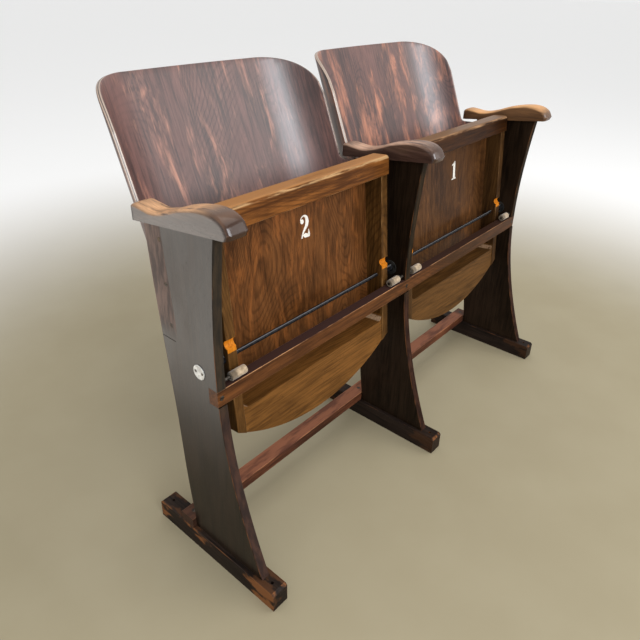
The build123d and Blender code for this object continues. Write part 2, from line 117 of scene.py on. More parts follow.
def fibre_noise(tree, where, grain, across, along, detail, seed, distortion=0.0):
    """Noise that is stretched along the grain."""
    scale = [along if axis == grain else across for axis in "XYZ"]
    moved = node(tree, "Mapping", {0: where, 1: (seed, seed * 0.7, seed * 1.3), 3: scale}).outputs[0]
    links = {"Vector": moved, "Scale": 1.0, "Detail": detail, "Roughness": 0.6, "Distortion": distortion}
    return node(tree, "TexNoise", links, noise_dimensions="3D").outputs[0]


def arris_share(tree, axis=None):
    """Where a rounded arris turns from one face to the next, from the surface normal."""
    if axis is None:
        sizes = [either_way(tree, facing(tree, each)) for each in "XYZ"]
        widest = calc(tree, "MAXIMUM", calc(tree, "MAXIMUM", sizes[0], sizes[1]), sizes[2])
        return ramp(tree, widest, 0.985, 0.86)
    side = either_way(tree, facing(tree, axis))
    return times(tree, ramp(tree, side, 0.06, 0.3), ramp(tree, side, 0.995, 0.9))


def socket_of(finish, name):
    return finish.node_tree.nodes["Principled BSDF"].inputs[name]


def new_finish(name, values):
    """A material with the given values on its shader's sockets."""
    made = bpy.data.materials.new(name)
    made.use_nodes = True
    for socket, value in values.items():
        socket_of(made, socket).default_value = value
    return made


def laid(finish, name="Base Color"):
    """What feeds a socket of a finish so far."""
    return socket_of(finish, name).links[0].from_socket


def lay(finish, source, name="Base Color"):
    """Feed a socket of a finish."""
    finish.node_tree.links.new(source, socket_of(finish, name))


def lay_bump(finish, height, strength, distance):
    links = {"Strength": strength, "Distance": distance, "Height": height}
    lay(finish, node(finish.node_tree, "Bump", links).outputs[0], "Normal")


def stained_wood(name, grain, deep, mid, worn, seed, gloss=0.4, shine=0.06, coat=0.0, coords="Object",
                 lines=0.4, figure_across=5.0, figure_along=0.9, flame=None, flame_from=0.56,
                 wear_axis=None, wear_from=0.42, wear_gain=1.0, upper=None, raw=None):
    """Varnished beech: growth lines, fibres and flecks in the stain, and bare wood where it is rubbed."""
    ring_count = 60.0
    worn_gloss = 0.55
    made = new_finish(name, {"Coat Weight": coat, "Coat Roughness": gloss, "Specular IOR Level": shine})
    tree = made.node_tree
    where = node(tree, "TexCoord").outputs[coords]

    def noise(across, along, detail, moved, distortion=0.0):
        return fibre_noise(tree, where, grain, across, along, detail, seed + moved, distortion)

    fibres = noise(across=240.0, along=14.0, detail=5.0, moved=3.1)
    bands = noise(across=52.0, along=5.5, detail=4.0, moved=5.7, distortion=0.5)
    patch = noise(across=7.0, along=3.6, detail=4.0, moved=1.9)
    flecks = ramp(tree, noise(across=700.0, along=90.0, detail=1.0, moved=9.3), 0.66, 0.76)
    tone = plus(tree, plus(tree, fibres, times(tree, bands, 0.7)), times(tree, patch, 0.9))
    colour = tint(tree, ramp(tree, tone, 0.98, 1.62), deep, mid)
    field = noise(figure_across, figure_along, detail=1.0, moved=0.0, distortion=0.4)
    phase = plus(tree, times(tree, field, ring_count), times(tree, fibres, 0.55))
    rings = ramp(tree, calc(tree, "SINE", times(tree, phase, 2 * pi)), 0.1, 1.0)
    drawn = ramp(tree, noise(across=9.0, along=2.0, detail=2.0, moved=17.0), 0.38, 0.62)
    colour = tint(tree, times(tree, times(tree, rings, drawn), lines), colour, shade(deep, 0.5))
    if flame:
        strands = noise(across=150.0, along=18.0, detail=5.0, moved=12.0, distortion=0.3)
        wander = noise(across=19.0, along=5.5, detail=5.0, moved=14.0, distortion=0.8)
        heat = plus(tree, times(tree, strands, 0.34), times(tree, wander, 0.8))
        heat = plus(tree, heat, times(tree, painted_share(tree, "flame"), 0.4))
        colour = tint(tree, ramp(tree, heat, flame_from, flame_from + 0.24), colour, flame)
    colour = tint(tree, times(tree, flecks, 0.6), colour, shade(deep, 0.3))
    if upper:
        level = ramp(tree, facing(tree, "Z"), 0.7, 0.95)
        colour = tint(tree, times(tree, level, ramp(tree, tone, 0.8, 1.3, 0.55, 1.0)), colour, upper)
    rubbing = noise(across=90.0, along=14.0, detail=5.0, moved=21.0)
    wear = plus(tree, times(tree, arris_share(tree, wear_axis), wear_gain), painted_share(tree, "wear"))
    wear = times(tree, wear, ramp(tree, rubbing, wear_from, wear_from + 0.22), clamp=True)
    pale_fibres = ramp(tree, fibres, 0.3, 0.7)
    colour = tint(tree, wear, colour, tint(tree, pale_fibres, shade(worn, 0.62), worn))
    if raw:
        bare, low, high, front = raw
        soft = 0.0008
        ragged = plus(tree, where_along(tree, "Z"), times(tree, rubbing, 0.002))
        share = times(tree, ramp(tree, ragged, low, low + soft), ramp(tree, ragged, high, high - soft))
        share = times(tree, share, ramp(tree, where_along(tree, "Y"), front + 0.001, front))
        share = times(tree, share, ramp(tree, either_way(tree, facing(tree, "X")), 0.7, 0.5))
        colour = tint(tree, share, colour, tint(tree, pale_fibres, shade(bare, 0.6), bare))
    lay(made, colour)
    smear = ramp(tree, patch, 0.35, 0.7, gloss - 0.05, gloss + 0.1)
    lay(made, plus(tree, smear, times(tree, wear, worn_gloss - gloss)), "Roughness")
    lay_bump(made, minus(tree, times(tree, fibres, 0.6), flecks), strength=0.3, distance=0.0004)
    return made


def finish_node(name, material):
    """Give a carried-over solid its finish."""
    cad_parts[name].material_slots[0].material = material


foot_wood = stained_wood("foot_wood", "Y", deep=(0.008, 0.0055, 0.0045), mid=(0.03, 0.019, 0.014),
                         worn=(0.27, 0.1, 0.03), seed=2.0, wear_from=0.46, gloss=0.48)
tree = foot_wood.node_tree
scuffs = fibre_noise(tree, where_on(tree), "Y", across=34.0, along=13.0, detail=5.0, seed=8.2)
near_ends = ramp(tree, either_way(tree, where_along(tree, "Y")), 0.07, 0.15, 0.0, 0.16)
on_sides = ramp(tree, either_way(tree, facing(tree, "X")), 0.5, 0.9, 0.25, 1.0)
on_left_foot = ramp(tree, where_along(tree, "X"), -0.3, -0.4, 0.14, 1.0)
scuffs = ramp(tree, plus(tree, scuffs, near_ends), 0.6, 0.68)
scuffs = times(tree, times(tree, scuffs, on_sides), on_left_foot)
lay(foot_wood, tint(tree, scuffs, laid(foot_wood), scuffed_orange))
for end in ("left", "middle", "right"):
    finish_node(f"foot_rail_{end}", foot_wood)

# Side panels: bandsawn from beech board, standing on the feet and narrow at the waist.
# Stained nearly black under satin varnish; the rounded arrises and lower front edges are rubbed brown.
# The rear strip of both faces is let in for the wings of the backs; on the row's outer faces it stays empty.

strip_front = 0.0532
strip_soft = 0.0013
strip_lean = 0.09
strip_level = 0.5
strip_foot = (0.464, 0.51)
kicked_height = (0.4, 0.34)
strip_tones = ((0.04, 0.024, 0.019), (0.13, 0.078, 0.06))
edge_tones = ((0.01, 0.0065, 0.003), (0.034, 0.02, 0.009))
kicked_tones = ((0.017, 0.0068, 0.0042), (0.052, 0.021, 0.012))
polished_shine = 0.2
panel_wood = stained_wood("panel_wood", "Z", deep=(0.006, 0.0035, 0.002), mid=(0.022, 0.0125, 0.007),
                          worn=(0.2, 0.075, 0.025), seed=4.0, wear_axis="X", gloss=0.34, lines=0.2)
tree = panel_wood.node_tree
height = where_along(tree, "Z")
behind = minus(tree, where_along(tree, "Y"), times(tree, minus(tree, height, strip_level), strip_lean))
strip = ramp(tree, behind, strip_front, strip_front + strip_soft)
strip = times(tree, strip, ramp(tree, height, *strip_foot))
mottle = fibre_noise(tree, where_on(tree), "Z", across=120.0, along=20.0, detail=5.0, seed=4.4)
bare_strip = tint(tree, ramp(tree, mottle, 0.38, 0.66), *strip_tones)
sawn_front = ramp(tree, facing(tree, "Y"), -0.55, -0.9)
blotches = ramp(tree, mottle, 0.35, 0.7)
edge_tone = tint(tree, blotches, *edge_tones)
edge_tone = tint(tree, ramp(tree, height, *kicked_height), edge_tone, tint(tree, blotches, *kicked_tones))
lay(panel_wood, tint(tree, sawn_front, tint(tree, strip, laid(panel_wood), bare_strip), edge_tone))
dull = times(tree, calc(tree, "MAXIMUM", strip, sawn_front), 0.3)
lay(panel_wood, plus(tree, laid(panel_wood, "Roughness"), dull), "Roughness")
polished_wood = panel_wood.copy()
polished_wood.name = "panel_wood_polished"
socket_of(polished_wood, "Specular IOR Level").default_value = polished_shine
finish_node("side_panel_left", polished_wood)
finish_node("side_panel_middle", panel_wood)
finish_node("side_panel_right", panel_wood)

# Front and lower stretchers: two straight beech bars that tie the three panels together.
# The front one is let flush into the panels at the waist, the lower one lies on the feet behind the panels.
# Both are screwed. The arrises are worn pale, and shoes have left dark marks on the lower bar.

shaded_brown = (0.03, 0.014, 0.006)
trodden_brown = (0.07, 0.026, 0.017)
end_grime = (0.035, 0.02, 0.014)
front_bar_wood = stained_wood("front_bar_wood", "X", deep=(0.045, 0.017, 0.007), mid=(0.15, 0.055, 0.017),
                              worn=(0.5, 0.25, 0.11), seed=6.0, wear_from=0.36, gloss=0.38,
                              upper=(0.04, 0.02, 0.017))
tree = front_bar_wood.node_tree
# Painted shade: the front bar's colour darkens towards its right end.
darker_end = ramp(tree, where_along(tree, "X"), -0.05, 0.25, 0.0, 0.4)
lay(front_bar_wood, tint(tree, darker_end, laid(front_bar_wood), shaded_brown))
lower_bar_wood = stained_wood("lower_bar_wood", "X", deep=(0.045, 0.016, 0.009), mid=(0.2, 0.07, 0.034),
                              worn=(0.46, 0.21, 0.1), seed=7.0, wear_from=0.36, wear_gain=1.2,
                              upper=(0.235, 0.09, 0.047))
tree = lower_bar_wood.node_tree
marks = fibre_noise(tree, where_on(tree), "X", across=60.0, along=11.0, detail=5.0, seed=7.7)
trodden = tint(tree, ramp(tree, marks, 0.46, 0.62, 0.0, 0.7), laid(lower_bar_wood), trodden_brown)
grimy_ends = ramp(tree, either_way(tree, where_along(tree, "X")), 0.505, 0.525, 0.0, 0.8)
lay(lower_bar_wood, tint(tree, grimy_ends, trodden, end_grime))
finish_node("front_stretcher", front_bar_wood)
finish_node("lower_stretcher", lower_bar_wood)

# Backs: beech plywood of 8 mm pressed over a form, nearly flat in the middle and bent forward at both sides.
# The top corners are rounded, the edge is eased, and below the armrests wings lie in the panels' rebates.
# Dark purple-brown stain, with the figure of rotary-cut veneer and reddish flames where it took less.

bay_places = {"left": -0.265, "right": 0.265}
shell_thickness = 0.008
shell_lean = radians(22.0)
shell_mid_y = 0.2435
shell_ref_z = 0.660
mid_radius = 1.350
mid_angle = radians(6.2)
wing_x = 0.253
edge_x = 0.2458
shell_height = 0.196
shell_crown = 0.0097
corner_across = 0.136
corner_down = 0.106
shell_bottom_z = 0.470
wing_top_z = 0.648
wing_front = [(0.0663, wing_top_z), (0.0643, 0.615), (0.0583, 0.561), (0.0528, 0.500),
              (0.0583, shell_bottom_z)]
inner_corner_round = 0.013
wing_top_round = 0.004
wing_foot_round = 0.006
rim = 0.0022
rim_profile = [(0.55, 0.03), (0.86, 0.1), (1.0, 0.22), (1.0, 0.4),
               (1.0, 0.6), (1.0, 0.78), (0.86, 0.9), (0.55, 0.97)]
outline_step = 0.0035
top_parts = 60
foot_parts = 24
grid_across = 0.0065
grid_up = 0.013
shell_cuts = ([k * grid_across for k in range(-48, 49)], [k * grid_up for k in range(-20, 16)])
corner_parts = 8
pale_ply = (0.4, 0.31, 0.24)
rear_brown = (0.02, 0.009, 0.007)

mid_half = mid_radius * sin(mid_angle)
bend_radius = (wing_x - mid_half) / (1 - sin(mid_angle))
bend_depth = mid_radius * (1 - cos(mid_angle)) + bend_radius * cos(mid_angle)
edge_angle = asin(sin(mid_angle) + (edge_x - mid_half) / bend_radius)
mid_arc = mid_radius * mid_angle
edge_arc = mid_arc + bend_radius * (edge_angle - mid_angle)
bend_arc = mid_arc + bend_radius * (pi / 2 - mid_angle)
shell_up = Vector((0, sin(shell_lean), cos(shell_lean)))
shell_front = Vector((0, -cos(shell_lean), sin(shell_lean)))


def shell_bend(arc):
    """Turn, distance across and distance forward of the hollow face at an arc length from the middle."""
    length = abs(arc)
    if length < mid_arc:
        turn = length / mid_radius
        return turn, mid_radius * sin(turn), mid_radius * (1 - cos(turn))
    if length < bend_arc:
        turn = mid_angle + (length - mid_arc) / bend_radius
        across = mid_half + bend_radius * (sin(turn) - sin(mid_angle))
        return turn, across, bend_depth - bend_radius * cos(turn)
    return pi / 2, wing_x, bend_depth + length - bend_arc


def shell_point(bay_x, arc, rise, depth):
    """Point of a back: arc across the sheet, rise up its lean, depth behind the hollow face."""
    turn, across, forward = shell_bend(arc)
    side = 1 if arc > 0 else -1
    outward = Vector((side * sin(turn), 0, 0)) - shell_front * cos(turn)
    middle = Vector((bay_x + side * across, shell_mid_y, shell_ref_z))
    return middle + shell_front * forward + shell_up * rise + outward * depth


def shell_top(arc):
    """Rise of the top edge, a shallow crown that ends in a rounded corner."""
    straight = edge_arc - corner_across
    if arc <= straight:
        return shell_height - shell_crown * (arc / edge_arc) ** 2
    shoulder = shell_height - shell_crown * (straight / edge_arc) ** 2 - corner_down
    share = min((arc - straight) / corner_across, 1.0)
    return shoulder + corner_down * sqrt(1 - share ** 2)


def rise_at(arc, z):
    """Rise at which the hollow face reaches a height."""
    return (z - shell_ref_z - sin(shell_lean) * shell_bend(arc)[2]) / cos(shell_lean)


def wing_place(y, z):
    """Arc and rise of a point of the wing's front edge."""
    forward = -cos(shell_lean) * (y - shell_mid_y) + sin(shell_lean) * (z - shell_ref_z)
    rise = sin(shell_lean) * (y - shell_mid_y) + cos(shell_lean) * (z - shell_ref_z)
    if forward >= bend_depth:
        return bend_arc + forward - bend_depth, rise
    turn = acos((bend_depth - forward) / bend_radius)
    return mid_arc + bend_radius * (turn - mid_angle), rise


def eased(corners, radii, step):
    """Polygon with rounded corners, divided into steps of nearly even length."""
    path = []
    count = len(corners)
    for k in range(count):
        here, before, after = Vector(corners[k]), Vector(corners[k - 1]), Vector(corners[(k + 1) % count])
        if not radii[k]:
            path.append(here)
            continue
        to_before, to_after = (before - here).normalized(), (after - here).normalized()
        half = to_before.angle(to_after) / 2
        room = 0.45 * min((before - here).length, (after - here).length)
        back = min(radii[k] / tan(half), room)
        for j in range(corner_parts + 1):
            share = j / corner_parts
            path.append(here + to_before * back * (1 - share) ** 2 + to_after * back * share ** 2)
    dense = []
    for k in range(len(path)):
        here, after = path[k], path[(k + 1) % len(path)]
        parts = max(1, round((after - here).length / step))
        dense += [here.lerp(after, j / parts) for j in range(parts)]
    return dense


def loop_out(loop, k):
    """Outward direction of a counter-clockwise loop at one of its points."""
    run = loop[(k + 1) % len(loop)] - loop[k - 1]
    return Vector((run.y, -run.x)).normalized()


def put_in_scene(name, data):
    made = bpy.data.objects.new(name, data)
    bpy.context.scene.collection.objects.link(made)
    return made


def mesh_piece(name, solid, finish, smooth=True):
    """Close a built mesh, and put it in the scene with its finish."""
    for face in solid.faces:
        face.smooth = smooth
    bmesh.ops.recalc_face_normals(solid, faces=solid.faces[:])
    mesh = bpy.data.meshes.new(name)
    solid.to_mesh(mesh)
    solid.free()
    mesh.materials.append(finish)
    return put_in_scene(name, mesh)


def sheet_piece(name, outline, edge, profile, cuts, place, finish):
    """A flat outline filled with a grid, bent into place on both faces, with an eased edge all round."""
    inner = [outline[k] - loop_out(outline, k) * edge for k in range(len(outline))]
    flat = bmesh.new()
    flat.faces.new([flat.verts.new((*point, 0)) for point in inner])
    for along, values in zip((Vector((1, 0, 0)), Vector((0, 1, 0))), cuts):
        for value in values:
            geometry = flat.verts[:] + flat.edges[:] + flat.faces[:]
            bmesh.ops.bisect_plane(flat, geom=geometry, dist=1e-7, plane_co=along * value, plane_no=along)
    flat.verts.ensure_lookup_table()
    border = {}
    for edge_line in flat.edges:
        if len(edge_line.link_loops) == 1:
            loop = edge_line.link_loops[0]
            border[loop.vert.index] = loop.link_loop_next.vert.index
    order = [next(iter(border))]
    while border[order[-1]] != order[0]:
        order.append(border[order[-1]])
    ring = [flat.verts[index].co.to_2d() for index in order]
    out = [loop_out(ring, k) for k in range(len(ring))]
    solid = bmesh.new()
    spread = solid.loops.layers.uv.new("sheet")
    edge_share = solid.verts.layers.float.new("edge")
    depth_share = solid.verts.layers.float.new("depth")
    uv_of = {}

    def vertex(spot, share, rimmed):
        made = solid.verts.new(place(spot.x, spot.y, share))
        made[edge_share] = rimmed
        made[depth_share] = share
        uv_of[made] = spot
        return made

    front = [vertex(v.co.to_2d(), 0.0, 0.0) for v in flat.verts]
    back = [vertex(v.co.to_2d(), 1.0, 0.0) for v in flat.verts]
    for face in flat.faces:
        solid.faces.new([front[v.index] for v in face.verts])
        solid.faces.new([back[v.index] for v in reversed(face.verts)])
    flat.free()
    rows = [[front[index] for index in order]]
    for reach, share in profile:
        rows.append([vertex(ring[k] + out[k] * edge * reach, share, reach ** 3) for k in range(len(ring))])
    rows.append([back[index] for index in order])
    for upper, lower in zip(rows, rows[1:]):
        for k in range(len(ring)):
            after = (k + 1) % len(ring)
            solid.faces.new((upper[after], upper[k], lower[k], lower[after]))
    for face in solid.faces:
        for loop in face.loops:
            loop[spread].uv = uv_of[loop.vert]
    return mesh_piece(name, solid, finish)


def back_finish(name, seed, flame, flame_from, core):
    """Stained veneer, darker and duller on the rear face, and the pale and dark plies on the edge."""
    made = stained_wood(name, "Y", deep=(0.036, 0.015, 0.0135), mid=(0.16, 0.068, 0.055),
                        worn=(0.3, 0.16, 0.1), seed=seed, coat=0.4, shine=0.5, coords="UV", lines=0.45,
                        figure_across=4.5, figure_along=1.9, flame=flame, flame_from=flame_from,
                        wear_gain=0.0)
    tree = made.node_tree
    depth = painted_share(tree, "depth")
    plies = node(tree, "ValToRGB", {0: depth})
    stops = [(0.0, (0.12, 0.06, 0.045)), (0.12, (0.34, 0.25, 0.19)), (0.34, pale_ply), (0.44, core),
             (0.56, core), (0.66, pale_ply), (0.88, (0.28, 0.19, 0.13)), (1.0, (0.06, 0.03, 0.02))]
    plies.color_ramp.elements.remove(plies.color_ramp.elements[1])
    for place, tone in stops:
        stop = plies.color_ramp.elements.new(place)
        stop.color = (*tone, 1.0)
    rear = ramp(tree, depth, 0.9, 1.0)
    veneer = tint(tree, times(tree, rear, 0.4), laid(made), rear_brown)
    on_edge = ramp(tree, painted_share(tree, "edge"), 0.5, 0.95)
    lay(made, tint(tree, on_edge, veneer, plies.outputs[0]))
    lay(made, plus(tree, laid(made, "Roughness"), times(tree, rear, 0.3)), "Roughness")
    return made


half = [(k * edge_arc / top_parts, shell_top(k * edge_arc / top_parts)) for k in range(top_parts + 1)]
half.append((edge_arc, rise_at(edge_arc, wing_top_z)))
corner_at = len(half) - 1
wing_edge = [wing_place(y, z) for y, z in wing_front]
half += wing_edge
foot_arcs = [wing_edge[-1][0] * (1 - k / foot_parts) for k in range(1, foot_parts + 1)]
half += [(arc, rise_at(arc, shell_bottom_z)) for arc in foot_arcs]
half_radii = [0.0] * len(half)
half_radii[corner_at] = inner_corner_round
half_radii[corner_at + 1] = wing_top_round
half_radii[corner_at + len(wing_edge)] = wing_foot_round
outline_corners = half + [(-arc, rise) for arc, rise in reversed(half[1:-1])]
outline_radii = half_radii + list(reversed(half_radii[1:-1]))
shell_outline = list(reversed(eased(outline_corners, outline_radii, outline_step)))
back_finishes = {
    "left": back_finish("back_veneer_left", seed=11.0, flame=(0.54, 0.24, 0.155), flame_from=0.59,
                        core=(0.06, 0.035, 0.027)),
    "right": back_finish("back_veneer_right", seed=15.3, flame=(0.54, 0.21, 0.115), flame_from=0.54,
                         core=(0.24, 0.17, 0.13)),
}
# Where the flames lie: arc, rise, half width, half height, strength
flame_places = {
    "left": [(-0.10, -0.02, 0.02, 0.06, 0.9), (0.085, -0.03, 0.035, 0.09, 1.0),
             (-0.16, 0.15, 0.03, 0.05, 0.6), (0.0, 0.02, 0.05, 0.05, 0.5),
             (-0.06, 0.14, 0.05, 0.03, 0.5), (0.05, 0.12, 0.03, 0.04, 0.3)],
    "right": [(-0.08, 0.14, 0.05, 0.06, 0.9), (0.03, 0.1, 0.06, 0.1, 1.0), (-0.14, 0.05, 0.03, 0.08, 0.8),
              (0.1, 0.02, 0.04, 0.1, 0.9), (0.0, -0.05, 0.08, 0.06, 0.7)],
}
for bay, bay_x in bay_places.items():
    shell = sheet_piece(f"back_{bay}", shell_outline, rim, rim_profile, shell_cuts,
                        lambda arc, rise, share: shell_point(bay_x, arc, rise, share * shell_thickness),
                        back_finishes[bay])
    heat = shell.data.attributes.new("flame", "FLOAT", "POINT")
    spots = [(0.0, 0.0)] * len(shell.data.vertices)
    for loop, spread in zip(shell.data.loops, shell.data.uv_layers["sheet"].data):
        spots[loop.vertex_index] = spread.uv[:]
    for k, (arc, rise) in enumerate(spots):
        total = 0.0
        for at, up, wide, tall, strength in flame_places[bay]:
            total += strength * exp(-((arc - at) / wide) ** 2 - ((rise - up) / tall) ** 2)
        heat.data[k].value = min(total, 1.0)
    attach(shell, "frame")
    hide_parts(f"back_shell_{bay}")

# Armrests: shaped from solid beech and dowelled onto the panels' top edges.
# The top is a long saddle that swells to the front and rolls over into a bull nose; the rear end overhangs.
# Hands and sleeves have worn the top through to tan wood, while the flat sides keep their dark stain.

arm_width = 0.041
arm_rear_y = 0.1465
arm_rear_z = 0.6535
arm_slope = tan(radians(6.7))
arm_round = 0.008
arm_round_parts = 8
arm_top_sag = 0.0006
arm_edge_rise = 0.012
arm_saddle_inset = 0.6
arm_swell_y = -0.02
arm_swell_run = 0.04
arm_nose_y = -0.05
arm_rear_corner = 0.013
arm_sharp = radians(50.0)
arm_profile = [(arm_rear_y, 0.0), (arm_rear_y, 0.014), (0.142, 0.0232), (0.133, 0.0265), (0.116, 0.0235),
               (0.088, 0.0185), (0.056, 0.0225), (0.022, 0.0315), (-0.010, 0.036), (-0.038, 0.0365),
               (-0.060, 0.032), (-0.076, 0.022), (-0.0845, 0.0075), (-0.081, 0.0)]
arm_places = {"left": -0.5185, "middle": 0.0, "right": 0.53}
arm_worn_to = {"left": 0.055, "middle": 0.075, "right": 0.12}
arm_worn_run = 0.05
arm_tail_y = 0.1
arm_tail_run = 0.03
arm_tail_loss = 0.35
arm_edge_loss = 0.92
arm_curve_parts = 7
arm_nose_from = (-0.03, -0.066)
arm_nose_stain = {"left": 0.85, "middle": 0.45, "right": 0.1}
nose_brown = (0.12, 0.062, 0.036)
nose_black = (0.028, 0.012, 0.007)
nose_polish = 0.14


def smooth_run(points, parts):
    """Points along a smooth curve through the given ones."""
    run = []
    for k in range(len(points) - 1):
        p0, p1 = Vector(points[max(k - 1, 0)]), Vector(points[k])
        p2, p3 = Vector(points[k + 1]), Vector(points[min(k + 2, len(points) - 1)])
        for j in range(parts):
            t = j / parts
            run.append(0.5 * (2 * p1 + (p2 - p0) * t + (2 * p0 - 5 * p1 + 4 * p2 - p3) * t ** 2
                              + (3 * p1 - p0 - 3 * p2 + p3) * t ** 3))
    return run + [Vector(points[-1])]


def within(share):
    """A share kept between 0 and 1."""
    return min(1.0, max(0.0, share))


def arm_underside(y):
    return arm_rear_z + (arm_rear_y - y) * arm_slope


arm_run = [(y, arm_underside(y) + height) for y, height in arm_profile]
arm_top_run = [Vector(arm_run[0])] + smooth_run(arm_run[1:-1], arm_curve_parts) + [Vector(arm_run[-1])]
arm_last = len(arm_top_run) - 1
arm_flat_half = arm_width / 2 - arm_round
arm_rounding = []
for k in range(arm_round_parts + 1):
    turn = k / arm_round_parts * pi / 2
    arm_rounding.append((-arm_width / 2 + arm_round * (1 - cos(turn)), arm_round * (1 - sin(turn))))
arm_flats = [k / 4 - 1 for k in range(1, 8)]
arm_stations = arm_rounding + [(arm_flat_half * part, -arm_top_sag * (1 - part ** 2)) for part in arm_flats]
arm_stations += [(-x, inset) for x, inset in reversed(arm_rounding)]
arm_finishes = {
    "left": stained_wood("armrest_wood_left", "Y", deep=(0.035, 0.024, 0.019), mid=(0.085, 0.058, 0.046),
                         worn=(0.7, 0.39, 0.2), seed=31.0, wear_gain=0.0, wear_from=0.27, gloss=0.3,
                         shine=0.32, lines=0.2),
    "middle": stained_wood("armrest_wood_middle", "Y", deep=(0.03, 0.015, 0.011), mid=(0.085, 0.046, 0.034),
                           worn=(0.6, 0.36, 0.24), seed=33.0, wear_gain=0.0, wear_from=0.31, gloss=0.28,
                           coat=0.15, shine=0.3, lines=0.2),
    "right": stained_wood("armrest_wood_right", "Y", deep=(0.03, 0.015, 0.008), mid=(0.13, 0.062, 0.026),
                          worn=(0.78, 0.41, 0.17), seed=35.0, wear_gain=0.0, wear_from=0.22, gloss=0.3,
                          coat=0.1, shine=0.25, lines=0.2),
}
for end, finish in arm_finishes.items():
    tree = finish.node_tree
    off_sides = ramp(tree, either_way(tree, facing(tree, "X")), 0.9, 0.7)
    rolled = times(tree, ramp(tree, where_along(tree, "Y"), *arm_nose_from), off_sides)
    rolled = times(tree, rolled, arm_nose_stain[end])
    fronted = times(tree, rolled, ramp(tree, facing(tree, "Y"), -0.3, -0.75))
    lay(finish, tint(tree, fronted, tint(tree, rolled, laid(finish), nose_brown), nose_black))
    lay(finish, minus(tree, laid(finish, "Roughness"), times(tree, rolled, nose_polish)), "Roughness")
for end, arm_x in arm_places.items():
    solid = bmesh.new()
    rubbed = solid.verts.layers.float.new("wear")
    rows = []
    for x, inset in arm_stations:
        beyond = max(0.0, abs(x) - arm_width / 2 + arm_rear_corner)
        rear_limit = arm_rear_y - arm_rear_corner + sqrt(max(0.0, arm_rear_corner ** 2 - beyond ** 2))
        off_edge = 1.0 - (inset / arm_round) ** 2 * arm_edge_loss if inset > 0 else 1.0
        row = []
        for k, point in enumerate(arm_top_run):
            run = (arm_top_run[min(k + 1, arm_last)] - arm_top_run[max(k - 1, 0)]).normalized()
            inward = Vector((-run.y, run.x))
            share = 1.0
            if point.x > arm_nose_y:
                share = within((point.y - arm_underside(point.x)) / arm_edge_rise)
            swell = within((arm_swell_y - point.x) / arm_swell_run)
            share *= arm_saddle_inset + (1.0 - arm_saddle_inset) * swell
            spot = point + inward * inset * share
            if k in (0, arm_last):
                spot.y = arm_underside(spot.x)
            if spot.x > rear_limit:
                spot.x = rear_limit
                spot.y = max(spot.y, arm_underside(spot.x))
            if point.x < arm_nose_y:
                spot.y = min(spot.y, row[-1].co.z)
            made = solid.verts.new((arm_x + x, spot.x, spot.y))
            upward = max(0.0, -run.x)
            nose = within((spot.x + arm_worn_to[end]) / arm_worn_run)
            tail = 1.0 - arm_tail_loss * within((spot.x - arm_tail_y) / arm_tail_run)
            made[rubbed] = (upward ** 3) * nose * tail * off_edge
            row.append(made)
        rows.append(row)
    for low, high in zip(rows, rows[1:]):
        for k in range(arm_last):
            solid.faces.new((low[k], low[k + 1], high[k + 1], high[k]))
        solid.faces.new((low[0], high[0], high[-1], low[-1]))
    solid.faces.new(rows[0])
    solid.faces.new(list(reversed(rows[-1])))
    arm = mesh_piece(f"armrest_shaped_{end}", solid, arm_finishes[end])
    arm.data.set_sharp_from_angle(angle=arm_sharp)
    for face in arm.data.polygons:
        face.use_smooth = len(face.vertices) == 4
    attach(arm, "frame")
    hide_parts(f"armrest_{end}")

# Felt rolls: strips of pale felt wound round steel pins beside each panel, just above the front stretcher.
# The lowered side rails land on them, so they are matted. Each roll is also darker and greyer towards its
# left end.

hinge_y = 0.0028
hinge_z = 0.433
bay_half = 0.256
stretcher_top = 0.413
roll_radius = 0.008
roll_length = 0.034
roll_half = roll_length / 2
roll_start = 0.016
roll_ahead = 0.0325
roll_gap = 0.0003
roll_y = hinge_y - roll_ahead
roll_z = stretcher_top + roll_radius + roll_gap
roll_turns = 2.6
roll_sides = 96
roll_rings = 26
roll_bore = 0.0031
roll_outer = 0.995
roll_step = 0.075
roll_lip = 0.0009
roll_lip_round = 0.00025
roll_lip_end = 0.0018
roll_rows = (1.0, 0.75, 0.5, 0.25, 0.0)
roll_sink = 0.0006
groove_depth = 0.0016
groove_width = 0.13
left_dark_start = 0.003
left_dark_run = 0.004
left_dark_strength = 0.75


def cloud_noise(tree, scale, detail):
    links = {"Vector": where_on(tree), "Scale": scale, "Detail": detail}
    return node(tree, "TexNoise", links).outputs[0]


def felt_finish(name, base, dirt):
    """Matted wool: dirt in clouds, pale fuzz, and dark seams between the turns."""
    made = new_finish(name, {"Roughness": 0.95, "Sheen Weight": 0.4, "Specular IOR Level": 0.2})
    tree = made.node_tree
    fuzz = cloud_noise(tree, scale=900.0, detail=4.0)
    matted = cloud_noise(tree, scale=140.0, detail=5.0)
    colour = tint(tree, ramp(tree, matted, 0.35, 0.7), dirt, base)
    colour = tint(tree, times(tree, ramp(tree, fuzz, 0.5, 0.7), 0.4), colour, shade(base, 1.25))
    lay(made, tint(tree, painted_share(tree, "seam"), colour, shade(dirt, 0.25)))
    lay_bump(made, fuzz, strength=0.6, distance=0.0004)
    return made


